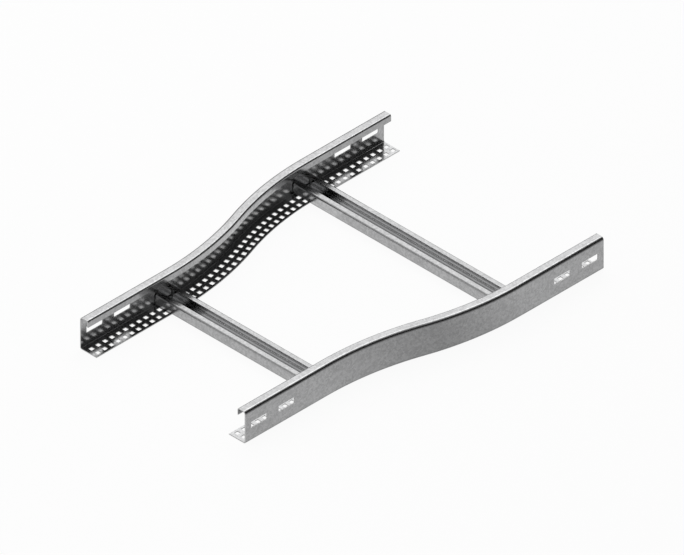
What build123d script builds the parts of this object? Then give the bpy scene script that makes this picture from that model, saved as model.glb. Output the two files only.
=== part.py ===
from build123d import *
import math
import os

os.makedirs("parts", exist_ok=True)

# Cable ladder reducer. All sizes in millimetres.
# X runs along the ladder from the narrow end to the wide end, Z is up,
# and the two side rails mirror each other about Y = 0.

# Overall sizes
length = 600.0
narrow_width = 300.0
wide_width = 400.0
rail_height = 50.0
sheet = 1.5

# Side rail section, measured inward from the outer face of the web
bottom_flange_width = 30.0
top_flange_width = 14.5
lip_height = 10.5
web_top_bend = 4.5
web_bottom_bend = 3.0
lip_bend = 3.0

# Run of the side rail in plan: straight, two equal arcs, straight
straight_length = 150.0
rail_offset = (wide_width - narrow_width) / 2
half_run = length / 2 - straight_length
half_offset = rail_offset / 2
arc_radius = (half_run**2 + half_offset**2) / (2 * half_offset)
arc_turn = math.asin(half_run / arc_radius)
arc_length = arc_radius * arc_turn

# Square perforation of the bottom flange, in rows that follow the web
hole_size = 6.0
hole_pitch = 12.3
hole_rows = (12.0, 23.5)
first_hole = 9.1
last_hole_land = 1.0
bent_run = straight_length + 2 * arc_length
run_length = bent_run + straight_length
hole_run = run_length - first_hole - hole_size / 2 - last_hole_land
holes_per_row = 1 + int(hole_run / hole_pitch)

# Splice slots in the web, two at each end
slot_length = 29.0
slot_height = 9.0
slot_level = rail_height / 2
slots_from_end = (25.0, 75.0)

# Rungs: channels open at the top, with a lip on each side
rung_width = 33.0
rung_height = 17.5
rung_lip_width = 8.4
rung_bend = 2.75
rung_lead = 15.5
rung_end_gap = 1.5

# How far a cutting tool reaches past the sheet it goes through
overcut = 1.0


def rail_shift(x):
    """Outward shift of the web at position x along the ladder."""
    if x <= -half_run:
        return 0.0
    if x >= half_run:
        return rail_offset
    side = half_run - abs(x)
    rise = arc_radius - math.sqrt(arc_radius**2 - side**2)
    return rise if x < 0 else rail_offset - rise


def place_on_run(run):
    """Place on the outer face of the left rail, run along its foot."""
    start_y = narrow_width / 2
    end_y = wide_width / 2
    if run <= straight_length:
        return Location((run - length / 2, start_y, 0))
    if run >= bent_run:
        return Location((half_run + run - bent_run, end_y, 0))
    turn = min(run - straight_length, bent_run - run) / arc_radius
    along = half_run - arc_radius * math.sin(turn)
    rise = arc_radius * (1 - math.cos(turn))
    if run <= straight_length + arc_length:
        spot = (-along, start_y + rise, 0)
    else:
        spot = (along, end_y - rise, 0)
    return Location(spot, (0, 0, math.degrees(turn)))


def rail_section(x, outer_y):
    """Folded sheet section of the left rail at its outer face."""
    under_top = rail_height - sheet
    lip_inside = top_flange_width - sheet
    lip_end = rail_height - lip_height
    corners = (
        (0, 0),
        (0, rail_height),
        (top_flange_width, rail_height),
        (top_flange_width, lip_end),
        (lip_inside, lip_end),
        (lip_inside, under_top),
        (sheet, under_top),
        (sheet, sheet),
        (bottom_flange_width, sheet),
        (bottom_flange_width, 0),
    )
    bends = (
        ((0, 0), web_bottom_bend),
        ((sheet, sheet), web_bottom_bend - sheet),
        ((0, rail_height), web_top_bend),
        ((sheet, under_top), web_top_bend - sheet),
        ((top_flange_width, rail_height), lip_bend),
        ((lip_inside, under_top), lip_bend - sheet),
    )
    face = make_face(Polyline(*corners, close=True))
    for corner, radius in bends:
        near = face.vertices().sort_by_distance((*corner, 0))
        face = fillet(near[0], radius)
    inward = Plane((x, outer_y, 0), x_dir=(0, -1, 0), z_dir=(-1, 0, 0))
    return inward * face


def bend_run(x, outer_y, centre_y):
    """One arc of the rail, turned about an upright axis beside it."""
    axis = Axis((x, centre_y, 0), (0, 0, 1))
    section = rail_section(x, outer_y)
    return revolve(section, axis, math.degrees(arc_turn))


def side_rail():
    """The left side rail, with its slots and its perforation."""
    narrow_y = narrow_width / 2
    wide_y = wide_width / 2
    start = rail_section(-length / 2, narrow_y)
    end = rail_section(half_run, wide_y)
    rail = extrude(start, straight_length, dir=(1, 0, 0))
    rail += bend_run(-half_run, narrow_y, narrow_y + arc_radius)
    rail += bend_run(half_run, wide_y, wide_y - arc_radius)
    rail += extrude(end, straight_length, dir=(1, 0, 0))

    slot_depth = 2 * sheet + 2 * overcut
    slot = Box(slot_length, slot_depth, slot_height)
    cutters = []
    for distance in slots_from_end:
        inset = length / 2 - distance
        cutters.append(Pos(-inset, narrow_y, slot_level) * slot)
        cutters.append(Pos(inset, wide_y, slot_level) * slot)

    hole = Box(hole_size, hole_size, 2 * sheet + 2 * overcut)
    for number in range(holes_per_row):
        spot = place_on_run(first_hole + number * hole_pitch)
        for row in hole_rows:
            cutters.append(spot * Pos(0, -row, 0) * hole)
    return rail - cutters


def rung_section():
    """Folded sheet section of a rung, standing on its own floor."""
    half = rung_width / 2
    inner = half - sheet
    slot_half = half - rung_lip_width
    under_lip = rung_height - sheet
    corners = (
        (-slot_half, rung_height),
        (-half, rung_height),
        (-half, 0),
        (half, 0),
        (half, rung_height),
        (slot_half, rung_height),
        (slot_half, under_lip),
        (inner, under_lip),
        (inner, sheet),
        (-inner, sheet),
        (-inner, under_lip),
        (-slot_half, under_lip),
    )
    face = make_face(Polyline(*corners, close=True))
    for side in (-1, 1):
        for level in (0, rung_height):
            near = face.vertices().sort_by_distance((side * half, level, 0))
            face = fillet(near[0], rung_bend)
        for level in (sheet, under_lip):
            near = face.vertices().sort_by_distance((side * inner, level, 0))
            face = fillet(near[0], rung_bend - sheet)
    return face


def rung(near_edge):
    """A rung resting on the bottom flanges, its near side at near_edge."""
    half_space = narrow_width / 2 + rail_shift(near_edge) - sheet
    reach = half_space - rung_end_gap
    middle = near_edge + rung_width / 2
    across = Plane((middle, 0, sheet), x_dir=(1, 0, 0), z_dir=(0, -1, 0))
    return extrude(across * rung_section(), reach, both=True)


left_rail = side_rail()
right_rail = mirror(left_rail, about=Plane.XZ)

pieces = {
    "side_rail_left": left_rail,
    "side_rail_right": right_rail,
    "rung_narrow_end": rung(-half_run - rung_lead),
    "rung_wide_end": rung(half_run - rung_lead),
}

for name, piece in pieces.items():
    export_step(piece, f"parts/{name}.step")
    box = piece.bounding_box()
    print(name, len(piece.solids()), "solid", box.min, box.max)
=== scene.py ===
"""Looks of the cable ladder reducer: folded, perforated galvanised steel on a pale floor."""

import logging
import math
from dataclasses import dataclass, field
from enum import Enum, IntEnum

import bpy
import numpy as np
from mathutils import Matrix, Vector


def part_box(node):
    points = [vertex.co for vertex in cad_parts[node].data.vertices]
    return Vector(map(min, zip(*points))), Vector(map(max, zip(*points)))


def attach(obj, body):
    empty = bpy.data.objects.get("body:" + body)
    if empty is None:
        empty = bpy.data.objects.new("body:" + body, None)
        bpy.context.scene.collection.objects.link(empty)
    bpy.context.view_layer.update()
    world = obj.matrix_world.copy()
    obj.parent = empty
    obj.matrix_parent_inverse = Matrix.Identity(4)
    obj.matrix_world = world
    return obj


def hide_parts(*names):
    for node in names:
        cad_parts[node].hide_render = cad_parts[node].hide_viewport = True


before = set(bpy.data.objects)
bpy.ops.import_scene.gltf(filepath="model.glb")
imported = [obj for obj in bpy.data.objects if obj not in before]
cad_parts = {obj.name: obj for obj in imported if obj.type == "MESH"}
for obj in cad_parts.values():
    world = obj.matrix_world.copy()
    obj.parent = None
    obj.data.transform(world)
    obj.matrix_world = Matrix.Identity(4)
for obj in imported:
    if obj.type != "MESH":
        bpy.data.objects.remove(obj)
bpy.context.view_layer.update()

Array = np.ndarray
MM = 0.001
ROUNDING = 1e-9  # Share of a step that rounding may add to a length
log = logging.getLogger("cable_ladder_reducer")


class Side(Enum):
    """The two side rails, by the sign of the Y axis on their side."""

    LEFT = 1
    RIGHT = -1


class End(Enum):
    """The two ends of the ladder, by the sign of the X axis there."""

    NARROW = -1
    WIDE = 1


class RailStrip(IntEnum):
    """The strips of a side rail's section in order, from the bottom flange to the lip."""

    BOTTOM_FLANGE = 0
    BOTTOM_BEND = 1
    WEB = 2
    TOP_BEND = 3
    TOP_FLANGE = 4
    LIP_BEND = 5
    LIP = 6
    END = 7


class RungStrip(IntEnum):
    """The strips of a rung's section in order, from one lip round to the other."""

    FIRST_LIP = 0
    FIRST_TOP_BEND = 1
    FIRST_SIDE = 2
    FIRST_FLOOR_BEND = 3
    FLOOR = 4
    LAST_FLOOR_BEND = 5
    LAST_SIDE = 6
    LAST_TOP_BEND = 7
    LAST_LIP = 8
    END = 9


class Skin(IntEnum):
    """The material slots of a folded sheet."""

    OUTER = 0
    EDGE = 1
    INNER = 2


# Folded sheet

@dataclass(frozen=True)
class Fold:
    """A flat strip of the sheet and the bend that follows it.

    Attributes:
        flat: Width of the flat strip.
        bend: Outer radius of the quarter bend after it, or 0 at a free edge.
    """

    flat: float
    bend: float = 0.0


@dataclass(frozen=True)
class FoldedSection:
    """Cross-section of a folded sheet, traced along its outer skin.

    Attributes:
        start: Where the trace starts, as distance across and height.
        heading: Direction in which it starts, in radians above the across axis.
        folds: The strips in order. Every bend turns the trace a quarter to the right.
        bend_steps: Number of facets in each bend.
    """

    start: tuple[float, float]
    heading: float
    folds: tuple[Fold, ...]
    bend_steps: int = 8

    def strips(self) -> Array:
        """Flats and bends in order, as rows of start width, across, up, heading and curvature."""
        rows = []
        width, across, up, heading = 0.0, self.start[0], self.start[1], self.heading
        for fold in self.folds:
            rows.append((width, across, up, heading, 0.0))
            width += fold.flat
            across += fold.flat * math.cos(heading)
            up += fold.flat * math.sin(heading)
            if fold.bend:
                rows.append((width, across, up, heading, 1 / fold.bend))
                turned = heading - math.pi / 2
                across += fold.bend * (math.sin(heading) - math.sin(turned))
                up += fold.bend * (math.cos(turned) - math.cos(heading))
                width += fold.bend * math.pi / 2
                heading = turned
        rows.append((width, across, up, heading, 0.0))
        return np.array(rows)

    def stations(self, *extra: float) -> Array:
        """Widths at which the grid has a line: strip ends, bend facets and what is asked for.

        Args:
            *extra: More developed widths, such as the edges of holes.

        Returns:
            Sorted developed widths, measured along the outer skin.
        """
        strips = self.strips()
        ends = strips[:, 0]
        bends = [
            np.linspace(ends[k], ends[k + 1], self.bend_steps + 1)
            for k in range(len(strips) - 1)
            if strips[k, 4]
        ]
        return merged(np.concatenate([ends, *bends, extra]))

    def trace(self, width: Array) -> tuple[Array, Array]:
        """Points of the outer skin and the direction of the trace there.

        On a flat a point is its start plus the width times the heading. On a bend the
        heading falls by width over radius, and the point moves by the radius times the
        change of the heading's sine and cosine.

        Args:
            width: Developed widths along the outer skin.

        Returns:
            Points as across and up, and unit headings as across and up.
        """
        strips = self.strips()
        at = np.clip(np.searchsorted(strips[:, 0], width, side="right") - 1, 0, len(strips) - 1)
        start, across, up, heading, curve = strips[at].T
        run = width - start
        angle = heading - curve * run
        radius = 1 / np.where(curve > 0, curve, 1)
        bent = curve > 0
        x = np.where(bent, radius * (np.sin(heading) - np.sin(angle)), run * np.cos(heading))
        y = np.where(bent, radius * (np.cos(angle) - np.cos(heading)), run * np.sin(heading))
        points = np.stack([across + x, up + y], axis=-1)
        return points, np.stack([np.cos(angle), np.sin(angle)], axis=-1)


def merged(values: Array, least: float = 1e-7) -> Array:
    """Sorted values with those closer together than the least difference made one."""
    ordered = np.sort(values)
    return ordered[np.concatenate([[True], np.diff(ordered) > least])]


def filled_in(marks: Array, longest: float) -> Array:
    """Marks with equal steps added wherever two of them lie further apart than the longest step.

    Args:
        marks: Sorted positions that have to stay.
        longest: Longest step to leave.

    Returns:
        The marks and what was added between them, sorted.
    """
    counts = np.maximum(np.ceil(np.diff(marks) / longest - ROUNDING).astype(int), 1)
    first = np.repeat(marks[:-1], counts)
    step = np.repeat(np.diff(marks) / counts, counts)
    index = np.arange(counts.sum()) - np.repeat(np.cumsum(counts) - counts, counts)
    return np.append(first + index * step, marks[-1])


@dataclass(frozen=True)
class ReducingRun:
    """Run of a side rail in plan: straight, two equal arcs that shift it outwards, straight.

    Attributes:
        length: Length of the ladder.
        straight: Length of each straight stretch.
        narrow: Distance of the rail's outer face from the middle at the narrow end.
        wide: The same at the wide end.
    """

    length: float
    straight: float
    narrow: float
    wide: float

    @property
    def half_bend(self) -> float:
        """Half the length of the ladder over which the rail bends."""
        return self.length / 2 - self.straight

    @property
    def radius(self) -> float:
        """Radius of both arcs at the rail's outer face."""
        half_shift = (self.wide - self.narrow) / 2
        return (self.half_bend**2 + half_shift**2) / (2 * half_shift)

    @property
    def arc(self) -> float:
        """Length of one arc at the rail's outer face."""
        return self.radius * math.asin(self.half_bend / self.radius)

    @property
    def run_length(self) -> float:
        """Length of the whole run at the rail's outer face."""
        return 2 * (self.straight + self.arc)

    def marks(self) -> Array:
        """Positions along the run where a straight or an arc starts or ends."""
        return np.cumsum([0, self.straight, self.arc, self.arc, self.straight])

    def places(self, run: Array) -> tuple[Array, Array]:
        """Places along the left rail's outer face, and the way across the sheet there.

        The turn grows from the first straight to the middle of the run as distance over
        radius, and shrinks again after it. An arc shifts the rail by the radius times one
        minus the cosine of the turn.

        Args:
            run: Distances along the rail's outer face.

        Returns:
            Points in plan, and unit vectors that point inwards from the outer face.
        """
        first, second = run - self.straight, self.run_length - self.straight - run
        turn = np.clip(np.minimum(first, second), 0, None) / self.radius
        near = first < second
        past = np.where(near, np.minimum(first, 0), -np.minimum(second, 0))
        along = self.half_bend - self.radius * np.sin(turn)
        shift = self.radius * (1 - np.cos(turn))
        x = np.where(near, -along, along) + past
        y = np.where(near, self.narrow + shift, self.wide - shift)
        return np.stack([x, y], axis=-1), np.stack([np.sin(turn), -np.cos(turn)], axis=-1)


@dataclass(frozen=True)
class StraightRun:
    """Run of a rung, straight across the ladder.

    Attributes:
        x: Position of the rung's middle along the ladder.
        reach: Half the length of the rung.
    """

    x: float
    reach: float

    @property
    def run_length(self) -> float:
        """Length of the rung."""
        return 2 * self.reach

    def marks(self) -> Array:
        """Positions of the rung's two ends along its run."""
        return np.array([0.0, self.run_length])

    def places(self, run: Array) -> tuple[Array, Array]:
        """Places along the rung's middle, which moves along Y, and the X direction at each."""
        points = np.stack([np.full_like(run, self.x), run - self.reach], axis=-1)
        return points, np.broadcast_to([1.0, 0.0], points.shape)


@dataclass
class Sheet:
    """A folded sheet carried along a run, as a closed mesh with eased edges.

    Attributes:
        section: The folded cross-section.
        path: The run in plan that carries it.
        thickness: Thickness of the sheet.
        base: Height at which the section's zero lies.
        ease: How far the sheared edges are rounded.
        mirrored: Whether the piece is built on the other side of the ladder.
    """

    section: FoldedSection
    path: ReducingRun | StraightRun
    thickness: float
    base: float = 0.0
    ease: float = 0.15 * MM
    mirrored: bool = False
    run: Array = field(init=False)
    width: Array = field(init=False)
    solid: Array = field(init=False)

    def lay_out(self, run: Array, width: Array) -> None:
        """Sets the grid's lines along the run and across the sheet, with every cell solid."""
        self.run, self.width = run, width
        self.solid = np.ones((len(run) - 1, len(width) - 1), bool)

    def pierce(self, run: tuple[float, float], width: tuple[float, float]) -> None:
        """Opens the cells between two positions on the run and two developed widths."""
        middle_run = (self.run[1:] + self.run[:-1]) / 2
        middle_width = (self.width[1:] + self.width[:-1]) / 2
        along = (middle_run > run[0]) & (middle_run < run[1])
        across = (middle_width > width[0]) & (middle_width < width[1])
        self.solid[np.ix_(along, across)] = False

    def surface(self) -> tuple[Array, Array, Array, Array]:
        """Outer skin on the grid, with its unit directions.

        A point is the place on the run, plus the section's distance across times the
        inward direction, plus the section's height. The normal is the trace's heading
        turned a quarter to the left.

        Returns:
            Points, outward normals, directions along the run and across the sheet.
        """
        place, inward = self.path.places(self.run)
        points, heading = self.section.trace(self.width)
        flat = np.zeros((len(self.run), len(self.width), 3))
        skin, normal, along, across = flat.copy(), flat.copy(), flat.copy(), flat.copy()
        skin[..., :2] = place[:, None] + inward[:, None] * points[None, :, :1]
        skin[..., 2] = self.base + points[None, :, 1]
        across[..., :2] = inward[:, None] * heading[None, :, :1]
        across[..., 2] = heading[None, :, 1]
        normal[..., :2] = -inward[:, None] * heading[None, :, 1:]
        normal[..., 2] = heading[None, :, 0]
        along[..., 0], along[..., 1] = -inward[:, None, 1], inward[:, None, 0]
        if self.mirrored:
            mirror = np.array([1.0, -1.0, 1.0])
            skin, normal, along, across = (v * mirror for v in (skin, normal, along, across))
        return skin, normal, along, across

    def towards_solid(self) -> tuple[Array, Array]:
        """At each grid point, the sign of the way from an open cell to a solid one.

        With the four cells around a point counted 1 where solid, the sign is that of the
        cells after it minus the cells before it, along the run and across the sheet.
        """
        cells = np.pad(self.solid, 1).astype(int)
        before, after = cells[:-1], cells[1:]
        along = np.sign(after[:, :-1] + after[:, 1:] - before[:, :-1] - before[:, 1:])
        across = np.sign(before[:, 1:] + after[:, 1:] - before[:, :-1] - after[:, :-1])
        return along, across

    def build(self, name: str) -> bpy.types.Object:
        """Makes the closed mesh: outer skin, inner skin and a rim of three strips at each edge.

        Args:
            name: Name of the new piece.

        Returns:
            The piece, with its faces in the material slots of Skin.
        """
        skin, normal, along, across = self.surface()
        sign_along, sign_across = self.towards_solid()
        inset = self.ease * (sign_along[..., None] * along + sign_across[..., None] * across)
        depths = (0.0, self.ease, self.thickness - self.ease, self.thickness)
        layers = [skin - depth * normal for depth in depths]
        layers[0] = layers[0] + inset
        layers[3] = layers[3] + inset
        count = skin.shape[0] * skin.shape[1]
        number = np.arange(count).reshape(skin.shape[:2])
        u, v = np.meshgrid(self.run, self.width, indexing="ij")
        spots = np.stack([u, v], axis=-1).reshape(-1, 2)

        corners = [number[:-1, :-1], number[1:, :-1], number[1:, 1:], number[:-1, 1:]]
        quads = np.stack([c[self.solid] for c in corners], axis=-1)
        faces, normals, slots = [quads, quads[:, ::-1] + 3 * count], [], []
        flat_normal = normal.reshape(-1, 3)
        normals += [flat_normal[quads], -flat_normal[quads[:, ::-1]]]
        places = [spots[quads], spots[quads[:, ::-1]]]
        slots += [np.full(len(quads), Skin.OUTER), np.full(len(quads), Skin.INNER)]

        padded = np.pad(self.solid, 1)
        inside = padded[1:-1, 1:-1]
        edges = (
            (0, 1, padded[1:-1, :-2], -across),
            (1, 2, padded[2:, 1:-1], along),
            (2, 3, padded[1:-1, 2:], across),
            (3, 0, padded[:-2, 1:-1], -along),
        )
        for a, b, beyond, outward in edges:
            rim = inside & ~beyond
            first, last = corners[a][rim], corners[b][rim]
            facing = outward.reshape(-1, 3)
            length = np.where(a % 2 == 0, spots[:, 0], spots[:, 1])
            tilt = (flat_normal, facing, facing, -flat_normal)
            for k in range(3):
                ring = np.stack([last, first, first, last], axis=-1)
                faces.append(ring + count * np.array([k, k, k + 1, k + 1]))
                upper, lower = tilt[k], tilt[k + 1]
                normals.append(
                    np.stack([upper[last], upper[first], lower[first], lower[last]], axis=1)
                )
                deep = np.array([depths[k], depths[k], depths[k + 1], depths[k + 1]])
                along_edge = length[ring]
                places.append(np.stack([along_edge, np.broadcast_to(deep, ring.shape)], axis=-1))
                slots.append(np.full(len(ring), Skin.EDGE))

        faces = np.concatenate(faces)
        normals, places = np.concatenate(normals), np.concatenate(places)
        vertices = np.concatenate([layer.reshape(-1, 3) for layer in layers])
        used, faces = np.unique(faces, return_inverse=True)
        faces = faces.reshape(-1, 4)
        vertices = vertices[used]
        turned = np.cross(
            vertices[faces[:, 1]] - vertices[faces[:, 0]],
            vertices[faces[:, 2]] - vertices[faces[:, 0]],
        )
        if (turned * normals.mean(axis=1)).sum() < 0:
            faces, normals, places = faces[:, ::-1], normals[:, ::-1], places[:, ::-1]
        return mesh_piece(name, vertices, faces, normals, places, np.concatenate(slots))


def mesh_piece(
    name: str, vertices: Array, faces: Array, normals: Array, places: Array, slots: Array
) -> bpy.types.Object:
    """Puts whole arrays into a new mesh object at the origin.

    Args:
        name: Name of the piece.
        vertices: Points, one row each.
        faces: Four vertex numbers in each row.
        normals: Exact normal at each corner of each face.
        places: UV place of each corner of each face, in metres.
        slots: Material slot of each face.

    Returns:
        The new object, linked to the scene.
    """
    mesh = bpy.data.meshes.new(name)
    mesh.from_pydata(vertices.tolist(), [], faces.tolist())
    mesh.polygons.foreach_set("material_index", slots.astype(np.int32))
    mesh.polygons.foreach_set("use_smooth", np.ones(len(faces), bool))
    layer = mesh.uv_layers.new(name="sheet")
    layer.data.foreach_set("uv", places.astype(np.float32).ravel())
    unit = normals / np.linalg.norm(normals, axis=-1, keepdims=True)
    mesh.normals_split_custom_set(unit.reshape(-1, 3).tolist())
    mesh.update()
    piece = bpy.data.objects.new(name, mesh)
    bpy.context.scene.collection.objects.link(piece)
    return piece


# Shader nodes

Socket = bpy.types.NodeSocket
Value = float | tuple[float, ...] | Socket


@dataclass
class Wiring:
    """Short calls that add nodes to one node tree.

    Attributes:
        tree: The node tree that is wired.
    """

    tree: bpy.types.NodeTree

    def node(
        self, kind: str, inputs: dict[str | int, Value] | None = None, **settings: object
    ) -> bpy.types.Node:
        """Adds a node and fills its inputs.

        Args:
            kind: Blender's name of the node type.
            inputs: Values or sockets to link, by the input's name or number.
            **settings: Properties of the node.

        Returns:
            The new node.
        """
        made = self.tree.nodes.new(kind)
        for name, value in settings.items():
            setattr(made, name, value)
        for key, value in (inputs or {}).items():
            if isinstance(value, Socket):
                self.tree.links.new(value, made.inputs[key])
            else:
                made.inputs[key].default_value = value
        return made

    def maths(self, operation: str, first: Value, second: Value = 0.0) -> Socket:
        """The result of one step of arithmetic on two values."""
        return self.node("ShaderNodeMath", {0: first, 1: second}, operation=operation).outputs[0]

    def spread(self, value: Value, low: float, high: float) -> Socket:
        """A value from 0 to 1 carried on to the range from low to high, and held inside it."""
        inputs = {"Value": value, "To Min": low, "To Max": high}
        return self.node("ShaderNodeMapRange", inputs).outputs[0]

    def stretch(self, value: Value, start: float, end: float) -> Socket:
        """A value carried from the range start to end on to 0 to 1, and held inside it."""
        inputs = {"Value": value, "From Min": start, "From Max": end}
        return self.node("ShaderNodeMapRange", inputs).outputs[0]

    def noise(self, place: Socket, size: float, detail: float = 2.0, rough: float = 0.5) -> Socket:
        """Soft noise with features of a size in metres, from 0 to 1."""
        inputs = {"Vector": place, "Scale": 1 / size, "Detail": detail, "Roughness": rough}
        return self.node("ShaderNodeTexNoise", inputs).outputs[0]


def new_group(
    name: str, inputs: dict[str, float | None], outputs: tuple[str, ...]
) -> tuple[Wiring, bpy.types.Node, bpy.types.Node]:
    """Starts a shader node group.

    Args:
        name: Name of the group.
        inputs: Default of each input, or None for a vector.
        outputs: Names of its outputs, all single values.

    Returns:
        Its wiring, its input node and its output node.
    """
    tree = bpy.data.node_groups.new(name, "ShaderNodeTree")
    for label, default in inputs.items():
        kind = "NodeSocketVector" if default is None else "NodeSocketFloat"
        socket = tree.interface.new_socket(name=label, in_out="INPUT", socket_type=kind)
        if default is not None:
            socket.default_value = default
    for label in outputs:
        tree.interface.new_socket(name=label, in_out="OUTPUT", socket_type="NodeSocketFloat")
    return Wiring(tree), tree.nodes.new("NodeGroupInput"), tree.nodes.new("NodeGroupOutput")


# Zinc crystals: how far their borders wander, in crystals, the feathers in one, and the
# share of the tone that is the crystal's own, the rest being feathers
BORDER_WANDER = 0.7
FEATHERS_PER_CRYSTAL = 3.0
CRYSTAL_SHARE = 0.7

# Clouding: sizes of the clouds and the streaks, the stretch of their noise that counts, the
# share of the clouds, how much the streaks are drawn out, and the factors on the tone
CLOUD_SIZE = 20 * MM
STREAK_SIZE = 6 * MM
CLOUD_STRETCH = (0.3, 0.7)
STREAK_STRETCH = (0.35, 0.65)
CLOUD_SHARE = 0.65
STREAK_DRAW = 0.08
CLOUD_TONES = (1.03, 0.95)

# Share of a painted shade line's half width at which it reaches its full strength
SHADE_LINE_CORE = 0.45

# Green and blue of the zinc, as shares of its red
ZINC_TINT = (1.002, 1.01)


def spangle_group() -> bpy.types.NodeTree:
    """Zinc crystals: cells of their own tone, with fine feathering inside them.

    Returns:
        A group from a place and a crystal size to a tone and a relief, both about 0.5.
    """
    wiring, enter, leave = new_group(
        "zinc spangle", {"Place": None, "Crystals per Metre": 1 / (2 * MM)}, ("Tone", "Relief")
    )
    place = enter.outputs["Place"]
    density = enter.outputs["Crystals per Metre"]
    warp = wiring.node("ShaderNodeTexNoise", {"Vector": place, "Scale": density, "Detail": 1.0})
    shift = wiring.node(
        "ShaderNodeVectorMath",
        {0: warp.outputs["Color"], 1: (0.5, 0.5, 0.5)},
        operation="SUBTRACT",
    ).outputs[0]
    reach = wiring.maths("DIVIDE", BORDER_WANDER, density)
    shift = wiring.node("ShaderNodeVectorMath", {0: shift, "Scale": reach}, operation="SCALE")
    bent = wiring.node("ShaderNodeVectorMath", {0: place, 1: shift.outputs[0]}, operation="ADD")
    cells = wiring.node("ShaderNodeTexVoronoi", {"Vector": bent.outputs[0], "Scale": density})
    tone = wiring.node("ShaderNodeSeparateColor", {0: cells.outputs["Color"]}).outputs[0]
    fine = wiring.maths("MULTIPLY", density, FEATHERS_PER_CRYSTAL)
    feather = wiring.node("ShaderNodeTexNoise", {"Vector": place, "Scale": fine, "Detail": 2.0})
    cell_part = wiring.maths("MULTIPLY", tone, CRYSTAL_SHARE)
    feather_part = wiring.maths("MULTIPLY", feather.outputs[0], 1 - CRYSTAL_SHARE)
    wiring.tree.links.new(wiring.maths("ADD", cell_part, feather_part), leave.inputs["Tone"])
    relief = wiring.maths("SUBTRACT", tone, cells.outputs["Distance"])
    wiring.tree.links.new(relief, leave.inputs["Relief"])
    return wiring.tree


def cloud_group() -> bpy.types.NodeTree:
    """Slow changes of the zinc's dullness over tens of millimetres, with a few streaks.

    Returns:
        A group from a place to a dullness from 0 to 1.
    """
    wiring, enter, leave = new_group(
        "zinc clouding", {"Place": None, "Streak Place": None}, ("Dullness",)
    )
    clouds = wiring.noise(enter.outputs["Place"], CLOUD_SIZE, detail=3.0, rough=0.55)
    streaks = wiring.noise(enter.outputs["Streak Place"], STREAK_SIZE)
    clouds = wiring.maths("MULTIPLY", wiring.stretch(clouds, *CLOUD_STRETCH), CLOUD_SHARE)
    streaks = wiring.maths("MULTIPLY", wiring.stretch(streaks, *STREAK_STRETCH), 1 - CLOUD_SHARE)
    wiring.tree.links.new(wiring.maths("ADD", clouds, streaks), leave.inputs["Dullness"])
    return wiring.tree


def shade_line_group() -> bpy.types.NodeTree:
    """Dark line along the sheet: painted shade where shade falls in corners and on bends, partly
    dulled zinc where it was folded over the tool.

    Returns:
        A group from a place and the line's middle and half width across the sheet to a
        mask, which is 1 on the line and falls off to its sides.
    """
    wiring, enter, leave = new_group(
        "painted shade line", {"Place": None, "Middle": 0.0, "Half Width": 1 * MM}, ("Mask",)
    )
    across = wiring.node("ShaderNodeSeparateXYZ", {0: enter.outputs["Place"]}).outputs[1]
    away = wiring.maths("SUBTRACT", across, enter.outputs["Middle"])
    far = wiring.maths("DIVIDE", wiring.maths("ABSOLUTE", away), enter.outputs["Half Width"])
    fade = wiring.node(
        "ShaderNodeMapRange",
        {"Value": far, "From Min": 1.0, "From Max": SHADE_LINE_CORE},
        interpolation_type="SMOOTHSTEP",
    )
    wiring.tree.links.new(fade.outputs[0], leave.inputs["Mask"])
    return wiring.tree


@dataclass(frozen=True)
class ShadeLine:
    """A line of painted shade along the sheet, partly dulled zinc, on a bend or a strip of one skin.

    Attributes:
        middle: Developed width of the outer skin at which the line runs.
        half_width: Half its width.
        darkening: How much darker the zinc is on it, as a share.
    """

    middle: float
    half_width: float
    darkening: float


@dataclass(frozen=True)
class ZincGroups:
    """The shader node groups that every zinc finish shares."""

    spangle: bpy.types.NodeTree
    clouding: bpy.types.NodeTree
    # Group of the dark lines of painted shade, partly dulled zinc
    fold: bpy.types.NodeTree


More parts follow.
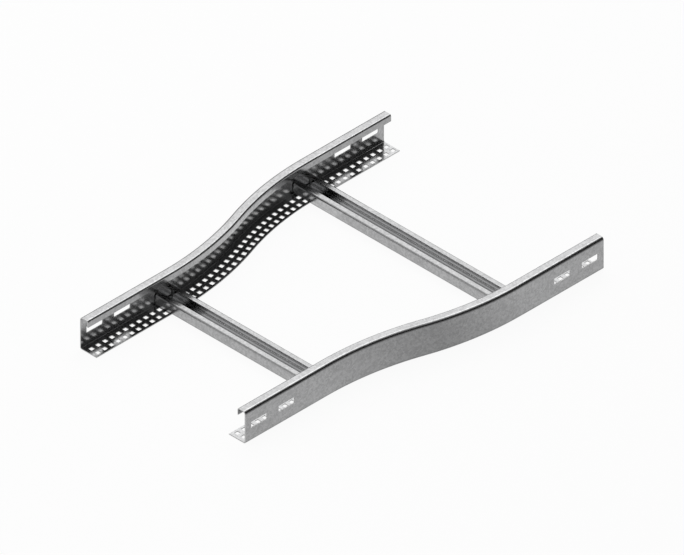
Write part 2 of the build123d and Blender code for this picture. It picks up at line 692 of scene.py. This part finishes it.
@dataclass(frozen=True)
class GalvanisedSteel:
    """Smooth rolled steel with a zinc coat of small crystals.

    Attributes:
        name: Name of the material.
        grey: Reflectance of the zinc.
        tone_spread: How much the crystals differ in reflectance, as a share.
        crystal: Size of a crystal.
        roughness: Mean roughness.
        roughness_spread: How much the crystals and the clouding change it.
        relief: Height of the crystals' relief.
        shade_lines: Lines of painted shade along the sheet, partly dulled zinc.
    """

    name: str
    grey: float = 0.35
    tone_spread: float = 0.19
    crystal: float = 2.5 * MM
    roughness: float = 0.20
    roughness_spread: float = 0.07
    relief: float = 0.004 * MM
    shade_lines: tuple[ShadeLine, ...] = ()

    def material(self, groups: ZincGroups) -> bpy.types.Material:
        """Builds the material from the shared groups.

        Args:
            groups: Shader node groups that all zinc shares.

        Returns:
            The new material, which follows the sheet by its UV map.
        """
        made = bpy.data.materials.new(self.name)
        made.use_nodes = True
        made.node_tree.nodes.clear()
        wiring = Wiring(made.node_tree)
        place = wiring.node("ShaderNodeUVMap", uv_map="sheet").outputs[0]
        streak = wiring.node("ShaderNodeMapping", {"Vector": place, "Scale": (STREAK_DRAW, 1.0, 1.0)})
        crystals = wiring.node("ShaderNodeGroup", node_tree=groups.spangle)
        wiring.tree.links.new(place, crystals.inputs["Place"])
        crystals.inputs["Crystals per Metre"].default_value = 1 / self.crystal
        clouds = wiring.node("ShaderNodeGroup", node_tree=groups.clouding)
        wiring.tree.links.new(place, clouds.inputs["Place"])
        wiring.tree.links.new(streak.outputs[0], clouds.inputs["Streak Place"])
        low, high = self.grey * (1 - self.tone_spread), self.grey * (1 + self.tone_spread)
        tone = wiring.spread(crystals.outputs["Tone"], low, high)
        dull = wiring.spread(clouds.outputs["Dullness"], *CLOUD_TONES)
        grey = wiring.maths("MULTIPLY", tone, dull)
        # Darker lines along the sheet: painted shade, partly dulled zinc
        for line in self.shade_lines:
            mask = wiring.node("ShaderNodeGroup", node_tree=groups.fold)
            wiring.tree.links.new(place, mask.inputs["Place"])
            mask.inputs["Middle"].default_value = line.middle
            mask.inputs["Half Width"].default_value = line.half_width
            kept = wiring.spread(mask.outputs["Mask"], 1.0, 1 - line.darkening)
            grey = wiring.maths("MULTIPLY", grey, kept)
        green, blue = (wiring.maths("MULTIPLY", grey, share) for share in ZINC_TINT)
        colour = wiring.node("ShaderNodeCombineColor", {0: grey, 1: green, 2: blue})
        half = self.roughness_spread / 2
        rough = wiring.spread(crystals.outputs["Tone"], self.roughness + half, self.roughness - half)
        rough = wiring.maths("ADD", rough, wiring.spread(clouds.outputs["Dullness"], -half, half))
        bump = wiring.node(
            "ShaderNodeBump",
            {"Height": crystals.outputs["Relief"], "Distance": self.relief, "Strength": 1.0},
        )
        shader = wiring.node(
            "ShaderNodeBsdfPrincipled",
            {
                "Base Color": colour.outputs[0],
                "Roughness": rough,
                "Metallic": 1.0,
                "Normal": bump.outputs[0],
            },
        )
        wiring.node("ShaderNodeOutputMaterial", {0: shader.outputs[0]})
        return made


@dataclass(frozen=True)
class ShearedEdge:
    """Cut edge of the sheet: a smooth sheared band, then a grainy torn band.

    Attributes:
        name: Name of the material.
        sheet: Thickness of the sheet, over which the two bands change.
        grey: Reflectance of the smooth band.
        roughness: Roughness of the smooth band.
        torn_share: Reflectance of the torn band, as a share of the smooth one's.
        torn_roughness: How much rougher the torn band is.
        border: Depths, as shares of the sheet and with its wander added, between which
            the smooth band turns into the torn one.
        wander: Length over which the border wanders.
        grain: Size of the grain, which is drawn out through the sheet.
        grain_draw: How much it is drawn out.
        grain_tones: Factors on the tone from one extreme of the grain to the other.
        relief: Height of the grain.
    """

    name: str
    sheet: float
    grey: float = 0.56
    roughness: float = 0.3
    torn_share: float = 0.72
    torn_roughness: float = 0.2
    border: tuple[float, float] = (0.8, 1.1)
    wander: float = 2.5 * MM
    grain: float = 0.35 * MM
    grain_draw: float = 0.15
    grain_tones: tuple[float, float] = (0.85, 1.1)
    relief: float = 0.01 * MM

    def material(self) -> bpy.types.Material:
        """Builds the material, which reads the depth into the edge from the UV map."""
        made = bpy.data.materials.new(self.name)
        made.use_nodes = True
        made.node_tree.nodes.clear()
        wiring = Wiring(made.node_tree)
        place = wiring.node("ShaderNodeUVMap", uv_map="sheet").outputs[0]
        depth = wiring.node("ShaderNodeSeparateXYZ", {0: place}).outputs[1]
        wander = wiring.noise(place, self.wander)
        torn = wiring.maths("ADD", wiring.maths("DIVIDE", depth, self.sheet), wander)
        torn = wiring.stretch(torn, *self.border)
        scale = (1.0, self.grain_draw, 1.0)
        drawn = wiring.node("ShaderNodeMapping", {"Vector": place, "Scale": scale})
        grain = wiring.noise(drawn.outputs[0], self.grain, detail=3.0, rough=0.6)
        tone = wiring.spread(torn, self.grey, self.grey * self.torn_share)
        grey = wiring.maths("MULTIPLY", tone, wiring.spread(grain, *self.grain_tones))
        colour = wiring.node("ShaderNodeCombineColor", {0: grey, 1: grey, 2: grey})
        rough = wiring.spread(torn, self.roughness, self.roughness + self.torn_roughness)
        bump = wiring.node(
            "ShaderNodeBump", {"Height": grain, "Distance": self.relief, "Strength": 1.0}
        )
        shader = wiring.node(
            "ShaderNodeBsdfPrincipled",
            {
                "Base Color": colour.outputs[0],
                "Roughness": rough,
                "Metallic": 1.0,
                "Normal": bump.outputs[0],
            },
        )
        wiring.node("ShaderNodeOutputMaterial", {0: shader.outputs[0]})
        return made


@dataclass(frozen=True)
class Finishes:
    """The materials of one kind of piece: outer skin, sheared edges and inner skin."""

    outer: bpy.types.Material
    edge: bpy.types.Material
    inner: bpy.types.Material

    def dress(self, piece: bpy.types.Object) -> None:
        """Puts the three finishes in the piece's slots, in the order of Skin."""
        finishes = {Skin.OUTER: self.outer, Skin.EDGE: self.edge, Skin.INNER: self.inner}
        for skin in Skin:
            piece.data.materials.append(finishes[skin])


# Sub-assemblies

@dataclass
class SideRail:
    """One side rail: a folded sheet with slots in the web and a perforated bottom flange.

    Attributes:
        side: Which of the two rails this is.
        finishes: Its materials.
        sheet: Thickness of the sheet.
        bottom_flange: Width of the bottom flange from the outer face.
        top_flange: Width of the top flange from the outer face.
        lip: Height of the lip that hangs from the top flange.
        web_bottom_bend, web_top_bend, lip_bend: Outer bend radii.
        straight: Length of the straight stretch at each end.
        hole, hole_pitch, first_hole, last_land: Square holes of the perforation.
        hole_rows: Distance of each row from the outer face.
        slot_length, slot_height: Splice slots of the web.
        slots_from_end: Distance of each slot's middle from the rail's end.
        least_step: Distance under which two marks along the run count as one.
        longest_step: Longest facet along the arcs.
    """

    side: Side
    finishes: Finishes | None = None
    sheet: float = 1.5 * MM
    bottom_flange: float = 30 * MM
    top_flange: float = 14.5 * MM
    lip: float = 10.5 * MM
    web_bottom_bend: float = 3 * MM
    web_top_bend: float = 4.5 * MM
    lip_bend: float = 3 * MM
    straight: float = 150 * MM
    hole: float = 6 * MM
    hole_pitch: float = 12.3 * MM
    first_hole: float = 9.1 * MM
    last_land: float = 1 * MM
    hole_rows: tuple[float, ...] = (12 * MM, 23.5 * MM)
    slot_length: float = 29 * MM
    slot_height: float = 9 * MM
    slots_from_end: tuple[float, ...] = (25 * MM, 75 * MM)
    least_step: float = 0.02 * MM
    longest_step: float = 4 * MM

    @property
    def node(self) -> str:
        """Name of the rail's node in the frame."""
        return f"side_rail_{self.side.name.lower()}"

    def path(self) -> ReducingRun:
        """The rail's run in plan, from the box of its node."""
        low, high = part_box(self.node)
        near, far = sorted((abs(low.y), abs(high.y)))
        return ReducingRun(high.x - low.x, self.straight, near + self.bottom_flange, far)

    def section(self) -> FoldedSection:
        """The folded section, from the bottom flange's free edge round to the lip's."""
        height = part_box(self.node)[1].z
        foot, head, rim = self.web_bottom_bend, self.web_top_bend, self.lip_bend
        folds = (
            Fold(self.bottom_flange - foot, foot),
            Fold(height - foot - head, head),
            Fold(self.top_flange - head - rim, rim),
            Fold(self.lip - rim),
        )
        return FoldedSection((self.bottom_flange, 0.0), math.pi, folds)

    def bend_shade_line(
        self, bend: RailStrip, at: float, reach: float, darkening: float
    ) -> ShadeLine:
        """A line of painted shade on one bend, partly dulled zinc.

        Args:
            bend: The bend.
            at: Middle of the line, as a share of the bend's developed width.
            reach: Half the line's width, as a share of the same.
            darkening: How much darker the zinc is on it, as a share.

        Returns:
            The line, in developed widths.
        """
        start, end = self.section().strips()[bend : bend + 2, 0]
        return ShadeLine(start + at * (end - start), reach * (end - start), darkening)

    def inside_shade_lines(self) -> tuple[ShadeLine, ...]:
        """Painted shade along the inside of the web's bottom bend, in the crease where shade falls.
        """
        return (self.bend_shade_line(RailStrip.BOTTOM_BEND, at=0.5, reach=0.7, darkening=0.45),)

    def outside_shade_lines(self) -> tuple[ShadeLine, ...]:
        """Dark lines along the outside of the web's two bends: painted shade standing for their dark
        reflections, partly dulled zinc.
        """
        return (
            self.bend_shade_line(RailStrip.BOTTOM_BEND, at=0.5, reach=0.8, darkening=0.25),
            self.bend_shade_line(RailStrip.TOP_BEND, at=0.24, reach=0.3, darkening=0.6),
            self.bend_shade_line(RailStrip.TOP_BEND, at=0.64, reach=0.18, darkening=0.22),
        )

    def hole_middles(self, path: ReducingRun) -> Array:
        """Middles of the perforation's holes along the run, equally spaced."""
        room = path.run_length - self.first_hole - self.hole / 2 - self.last_land
        return self.first_hole + self.hole_pitch * np.arange(1 + int(room / self.hole_pitch))

    def slot_middles(self, path: ReducingRun) -> Array:
        """Middles of the splice slots along the run, counted from both ends."""
        near = np.array(self.slots_from_end)
        return np.concatenate([near, path.run_length - near])

    def build(self) -> bpy.types.Object:
        """Builds and dresses the rail, which stands for its node.

        Returns:
            The finished piece.
        """
        path, section = self.path(), self.section()
        web_start = section.strips()[RailStrip.WEB, 0]
        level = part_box(self.node)[1].z / 2 - self.web_bottom_bend + web_start
        slot_band = (level - self.slot_height / 2, level + self.slot_height / 2)
        rows = [
            (self.bottom_flange - row - self.hole / 2, self.bottom_flange - row + self.hole / 2)
            for row in self.hole_rows
        ]
        holes, slots = self.hole_middles(path), self.slot_middles(path)
        edges = np.concatenate(
            [
                path.marks(),
                holes - self.hole / 2,
                holes + self.hole / 2,
                slots - self.slot_length / 2,
                slots + self.slot_length / 2,
            ]
        )
        rail = Sheet(section, path, self.sheet, mirrored=self.side is Side.RIGHT)
        width = section.stations(*slot_band, *np.ravel(rows))
        rail.lay_out(filled_in(merged(edges, self.least_step), self.longest_step), width)
        for middle in holes:
            for row in rows:
                rail.pierce((middle - self.hole / 2, middle + self.hole / 2), row)
        for middle in slots:
            rail.pierce((middle - self.slot_length / 2, middle + self.slot_length / 2), slot_band)
        piece = rail.build(f"{self.node}_folded")
        self.finishes.dress(piece)
        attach(piece, "root")
        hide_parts(self.node)
        return piece


@dataclass
class Rung:
    """One rung: a channel open at the top, with a lip along each side.

    Attributes:
        end: The end of the ladder that it is nearer to.
        finishes: Its materials.
        sheet: Thickness of the sheet.
        lip: Width of each lip from the side's outer face.
        bend: Outer bend radius.
        longest_step: Longest facet along the rung.
    """

    end: End
    finishes: Finishes | None = None
    sheet: float = 1.5 * MM
    lip: float = 8.4 * MM
    bend: float = 2.75 * MM
    longest_step: float = 50 * MM

    @property
    def node(self) -> str:
        """Name of the rung's node in the frame."""
        return f"rung_{self.end.name.lower()}_end"

    def section(self) -> FoldedSection:
        """The folded section, from one lip's free edge round to the other's."""
        low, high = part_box(self.node)
        width, height = high.x - low.x, high.z - low.z
        lip, side, floor = (
            self.lip - self.bend,
            height - 2 * self.bend,
            width - 2 * self.bend,
        )
        folds = (
            Fold(lip, self.bend),
            Fold(side, self.bend),
            Fold(floor, self.bend),
            Fold(side, self.bend),
            Fold(lip),
        )
        return FoldedSection((width / 2 - self.lip, height), 0.0, folds)

    def inside_shade_lines(self) -> tuple[ShadeLine, ...]:
        """Painted shade: dark lines in the floor's two corners, and darkening up the insides of the
        sides, where shade falls.
        """
        starts = self.section().strips()[:, 0]
        into_bend = 0.06 * (starts[RungStrip.FLOOR] - starts[RungStrip.FIRST_FLOOR_BEND])
        corners = (
            starts[RungStrip.FLOOR] - into_bend,
            starts[RungStrip.LAST_FLOOR_BEND] + into_bend,
        )
        tops = starts[[RungStrip.FIRST_SIDE, RungStrip.LAST_TOP_BEND]]
        return (
            *(ShadeLine(middle, half_width=self.bend, darkening=0.62) for middle in corners),
            *(ShadeLine(middle, half_width=5.2 * self.bend, darkening=0.79) for middle in tops),
        )

    def outside_shade_lines(self) -> tuple[ShadeLine, ...]:
        """Darkening of the two lips and of the four bends: painted shade, partly dulled zinc."""
        starts = self.section().strips()[:, 0]
        middles = (starts[:-1] + starts[1:]) / 2
        edges = starts[[RungStrip.FIRST_LIP, RungStrip.END]]
        upper = middles[[RungStrip.FIRST_TOP_BEND, RungStrip.LAST_TOP_BEND]]
        lower = middles[[RungStrip.FIRST_FLOOR_BEND, RungStrip.LAST_FLOOR_BEND]]
        return (
            *(ShadeLine(middle, half_width=1.45 * self.lip, darkening=0.17) for middle in edges),
            *(ShadeLine(middle, half_width=self.bend, darkening=0.1) for middle in upper),
            *(ShadeLine(middle, half_width=self.bend, darkening=0.4) for middle in lower),
        )

    def build(self) -> bpy.types.Object:
        """Builds and dresses the rung, which stands for its node.

        Returns:
            The finished piece.
        """
        low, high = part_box(self.node)
        section = self.section()
        path = StraightRun((low.x + high.x) / 2, high.y)
        rung = Sheet(section, path, self.sheet, base=low.z)
        rung.lay_out(filled_in(path.marks(), self.longest_step), section.stations())
        piece = rung.build(f"{self.node}_folded")
        self.finishes.dress(piece)
        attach(piece, "root")
        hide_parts(self.node)
        return piece


# Studio

@dataclass(frozen=True)
class Panel:
    """A soft light panel that faces the object.

    Attributes:
        name: Name of the lamp.
        azimuth: Direction from the object, in degrees from +X towards +Y.
        elevation: Height above the horizon, in degrees.
        distance: Distance from the object.
        width, height: Size of the panel.
        radiance: Brightness of its face, where 1 is white.
    """

    name: str
    azimuth: float
    elevation: float
    distance: float
    width: float
    height: float
    radiance: float

    def build(self) -> bpy.types.Object:
        """Adds the lamp. Its power is its brightness times its area times pi."""
        lamp = bpy.data.lights.new(self.name, "AREA")
        lamp.shape = "RECTANGLE"
        lamp.size, lamp.size_y = self.width, self.height
        lamp.energy = self.radiance * self.width * self.height * math.pi
        holder = bpy.data.objects.new(self.name, lamp)
        away = direction(self.azimuth, self.elevation)
        holder.location = away * self.distance
        holder.rotation_euler = away.to_track_quat("Z", "Y").to_euler()
        bpy.context.scene.collection.objects.link(holder)
        return holder


def direction(azimuth: float, elevation: float) -> Vector:
    """Unit vector from the object, by degrees from +X towards +Y and degrees above the horizon."""
    a, e = math.radians(azimuth), math.radians(elevation)
    return Vector((math.cos(e) * math.cos(a), math.cos(e) * math.sin(a), math.sin(e)))


def matt_material(name: str, grey: float) -> bpy.types.Material:
    """A matt grey material of one tone."""
    made = bpy.data.materials.new(name)
    made.use_nodes = True
    shader = made.node_tree.nodes["Principled BSDF"]
    shader.inputs["Base Color"].default_value = (grey, grey, grey, 1.0)
    shader.inputs["Roughness"].default_value = 1.0
    shader.inputs["Specular IOR Level"].default_value = 0.0
    return made


def backdrop_material(name: str, grey: float, white: float, share: float) -> bpy.types.Material:
    """A matt floor that the camera and reflections see as a nearly even white.

    Args:
        name: Name of the material.
        grey: Reflectance of the floor.
        white: Brightness of the even white.
        share: Share of the even white; the rest is the lit floor with the object's shadow.

    Returns:
        The new material.
    """
    made = matt_material(name, grey)
    wiring = Wiring(made.node_tree)
    path = wiring.node("ShaderNodeLightPath")
    direct = wiring.maths("MAXIMUM", path.outputs["Is Camera Ray"], path.outputs["Is Glossy Ray"])
    seen = wiring.maths("MAXIMUM", direct, path.outputs["Is Transmission Ray"])
    glow = wiring.node("ShaderNodeEmission", {"Color": (white, white, white, 1.0), "Strength": 1.0})
    lit = made.node_tree.nodes["Principled BSDF"].outputs[0]
    both = wiring.node(
        "ShaderNodeMixShader", {0: wiring.maths("MULTIPLY", seen, share), 1: lit, 2: glow.outputs[0]}
    )
    end = made.node_tree.nodes["Material Output"]
    made.node_tree.links.new(both.outputs[0], end.inputs["Surface"])
    return made


def grid_piece(name: str, points: Array) -> bpy.types.Object:
    """A smooth surface through a grid of points, as an object of the stage."""
    rows, columns = points.shape[:2]
    number = np.arange(rows * columns).reshape(rows, columns)
    corners = (number[:-1, :-1], number[1:, :-1], number[1:, 1:], number[:-1, 1:])
    faces = np.stack([c.ravel() for c in corners], axis=-1)
    mesh = bpy.data.meshes.new(name)
    mesh.from_pydata(points.reshape(-1, 3).tolist(), [], faces.tolist())
    piece = bpy.data.objects.new(name, mesh)
    bpy.context.scene.collection.objects.link(piece)
    return piece


@dataclass(frozen=True)
class FloorCard:
    """A glowing card on the floor beside the bent stretch of a rail, which only reflections see: a
    painted reflection, darker than the floor where it stands for shade, brighter where it stands for
    light.

    Attributes:
        name: Name of the card.
        side: The rail that it follows.
        edges: Distances of its two long edges inwards from the rail's outer face.
        tone: Brightness of its middle, where 1 is white.
        middle: Position of its middle along the ladder.
        fade: Distance from there over which it turns clear.
        overhang: How far it reaches past the bent stretch at both ends.
        stations: Number of places along it at which it has points.
    """

    name: str
    side: Side
    edges: tuple[float, float]
    tone: float
    middle: float
    fade: float
    overhang: float = 60 * MM
    stations: int = 65

    def material(self) -> bpy.types.Material:
        """A material that glows evenly in the card's middle and is clear at its ends."""
        made = bpy.data.materials.new(self.name)
        made.use_nodes = True
        made.node_tree.nodes.clear()
        wiring = Wiring(made.node_tree)
        place = wiring.node("ShaderNodeTexCoord").outputs["Object"]
        along = wiring.node("ShaderNodeSeparateXYZ", {0: place}).outputs[0]
        away = wiring.maths("ABSOLUTE", wiring.maths("SUBTRACT", along, self.middle))
        there = wiring.stretch(away, self.fade, 0.0)
        clear = wiring.node("ShaderNodeBsdfTransparent").outputs[0]
        colour = (self.tone, self.tone, self.tone, 1.0)
        glow = wiring.node("ShaderNodeEmission", {"Color": colour}).outputs[0]
        both = wiring.node("ShaderNodeMixShader", {0: there, 1: clear, 2: glow}).outputs[0]
        wiring.node("ShaderNodeOutputMaterial", {0: both})
        return made

    def build(self, height: float) -> bpy.types.Object:
        """Lays the card out: a point is the rail's outer face plus a distance inwards.

        Args:
            height: Height at which it lies.

        Returns:
            The card.
        """
        path = SideRail(self.side).path()
        start = path.straight - self.overhang
        place, inward = path.places(
            np.linspace(start, path.run_length - start, self.stations)
        )
        points = np.full((len(place), 2, 3), height)
        points[..., :2] = place[:, None] + inward[:, None] * np.array(self.edges)[:, None]
        points[..., 1] *= self.side.value
        card = grid_piece(self.name, points)
        card.data.materials.append(self.material())
        card.visible_camera = card.visible_diffuse = card.visible_shadow = False
        return card


@dataclass
class Studio:
    """Pale floor, soft light, dark cards beside the set, glowing cards under it that paint shade and
    light into the rails' reflections, and the camera.

    Attributes:
        floor_half: Half the side of the square floor.
        floor_drop: How far the floor lies under the object.
        floor_depth: Depth of the floor's underside, which low views look down on.
        floor_grey: Reflectance of the floor.
        floor_white: Brightness at which the camera and reflections see the floor.
        floor_share: Share of that even brightness in what they see.
        world: Brightness of the surroundings, where 1 is white.
        card_radius: Distance of the dark cards.
        card_grey: Reflectance of the dark cards.
        cards: For each card the two azimuths between which it stands and the elevation of
            its top edge, in degrees.
        floor_cards: The glowing cards on the floor, painted reflections: one darker than the floor as
            painted shade, one brighter as painted light.
        panels: The light panels.
        floor_lines: Number of grid lines each way across the floor.
        card_lines: Number of upright grid lines on a dark card.
        view_width: Width of the picture at the object.
        look_at: Point of the floor plane in the middle of the picture.
        camera_distance: Distance of the camera from that point.
    """

    floor_half: float = 4.0
    floor_drop: float = 0.2 * MM
    floor_depth: float = 0.5
    floor_grey: float = 0.93
    floor_white: float = 0.99
    floor_share: float = 0.94
    world: float = 0.8
    card_radius: float = 2.4
    card_grey: float = 0.13
    cards: tuple[tuple[float, float, float], ...] = ((-125.0, 12.0, 50.0), (42.0, 110.0, 15.0))
    floor_cards: tuple[FloorCard, ...] = (
        # Painted reflections: the grey card darkens what the right rail's web reflects as painted
        # shade, the bright card glows to light what the left rail's lip reflects
        FloorCard(
            "painted_shade_floor_card",
            Side.RIGHT,
            edges=(-80 * MM, -1 * MM),
            tone=0.65,
            middle=24 * MM,
            fade=165 * MM,
        ),
        FloorCard(
            "painted_glow_floor_card",
            Side.LEFT,
            edges=(20 * MM, 75 * MM),
            tone=1.28,
            middle=50 * MM,
            fade=150 * MM,
            overhang=0.0,
        ),
    )
    panels: tuple[Panel, ...] = (
        Panel(
            "light_over",
            azimuth=10.0,
            elevation=58.0,
            distance=6.0,
            width=3.4,
            height=3.4,
            radiance=1.25,
        ),
        Panel(
            "light_behind",
            azimuth=45.0,
            elevation=44.0,
            distance=6.0,
            width=7.0,
            height=5.0,
            radiance=1.18,
        ),
    )
    floor_lines: int = 9
    card_lines: int = 33
    view_width: float = 0.8773
    look_at: tuple[float, float, float] = (0.04936, 0.02415, 0.0)
    camera_distance: float = 3.5

    def build_floor(self) -> None:
        """Flat square grids under the object, each of one height: the floor and its underside."""
        pale = backdrop_material("pale floor", self.floor_grey, self.floor_white, self.floor_share)
        line = np.linspace(-self.floor_half, self.floor_half, self.floor_lines)
        x, y = np.meshgrid(line, line, indexing="ij")
        for name, depth in (("floor", self.floor_drop), ("floor_underside", self.floor_depth)):
            floor = grid_piece(name, np.stack([x, y, np.full_like(x, -depth)], axis=-1))
            floor.data.materials.append(pale)

    def build_cards(self) -> None:
        """Dark cards bent round the set: a point is the radius in a direction, and a height."""
        dark = matt_material("dark card", self.card_grey)
        for number, (start, end, height) in enumerate(self.cards, 1):
            azimuth = np.radians(np.linspace(start, end, self.card_lines))
            top = self.card_radius * math.tan(math.radians(height))
            a, z = np.meshgrid(azimuth, np.array([0.0, top]), indexing="ij")
            x, y = self.card_radius * np.cos(a), self.card_radius * np.sin(a)
            card = grid_piece(f"dark_card_{number}", np.stack([x, y, z], axis=-1))
            card.data.materials.append(dark)
            card.visible_camera = False

    def build_world(self) -> bpy.types.World:
        """Even surroundings of one brightness."""
        world = bpy.data.worlds.new("surroundings")
        world.use_nodes = True
        back = world.node_tree.nodes["Background"]
        back.inputs["Color"].default_value = (1.0, 1.0, 1.0, 1.0)
        back.inputs["Strength"].default_value = self.world
        bpy.context.scene.world = world
        return world

    def build_camera(self) -> bpy.types.Object:
        """A parallel camera that looks equally along +X, +Y and down."""
        lens = bpy.data.cameras.new("camera")
        lens.type = "ORTHO"
        lens.ortho_scale = self.view_width
        camera = bpy.data.objects.new("camera", lens)
        looking = Vector((1.0, 1.0, -1.0)).normalized()
        camera.location = Vector(self.look_at) - looking * self.camera_distance
        camera.rotation_mode = "QUATERNION"
        camera.rotation_quaternion = looking.to_track_quat("-Z", "Y")
        bpy.context.scene.collection.objects.link(camera)
        bpy.context.scene.camera = camera
        return camera

    def build(self) -> None:
        """Sets up the whole studio and the plain view transform."""
        self.build_floor()
        self.build_cards()
        for card in self.floor_cards:
            card.build(-self.floor_drop / 2)
        self.build_world()
        for panel in self.panels:
            panel.build()
        self.build_camera()
        bpy.context.scene.view_settings.view_transform = "Standard"


def report(piece: bpy.types.Object) -> None:
    """Logs a finished piece with its number of faces."""
    log.info("%s: %d faces", piece.name, len(piece.data.polygons))


def main() -> None:
    """Builds the rails, the rungs and the studio in order."""
    logging.basicConfig(level=logging.INFO, format="%(name)s: %(message)s")
    groups = ZincGroups(spangle_group(), cloud_group(), shade_line_group())
    edge = ShearedEdge("sheared edge", SideRail.sheet).material()
    rail, rung = SideRail(Side.LEFT), Rung(End.NARROW)
    # Both zinc finishes carry lines of painted shade along bends, corners and sides
    outside = GalvanisedSteel("rail zinc outside", grey=0.328, shade_lines=rail.outside_shade_lines())
    inside = GalvanisedSteel("rail zinc inside", shade_lines=rail.inside_shade_lines())
    rail_steel = Finishes(outside.material(groups), edge, inside.material(groups))
    outside = GalvanisedSteel("rung zinc outside", grey=0.385, shade_lines=rung.outside_shade_lines())
    inside = GalvanisedSteel(
        "rung zinc inside painted bright",
        # Far brighter than the outer zinc: painted light, standing for light that reaches the
        # channel's floor and sides
        grey=0.93,
        tone_spread=0.07,
        roughness=0.1,
        roughness_spread=0.02,
        relief=0.0,
        shade_lines=rung.inside_shade_lines(),
    )
    rung_steel = Finishes(outside.material(groups), edge, inside.material(groups))
    for side in Side:
        report(SideRail(side, rail_steel).build())
    for end in End:
        report(Rung(end, rung_steel).build())
    Studio().build()


if __name__ == "__main__":
    main()
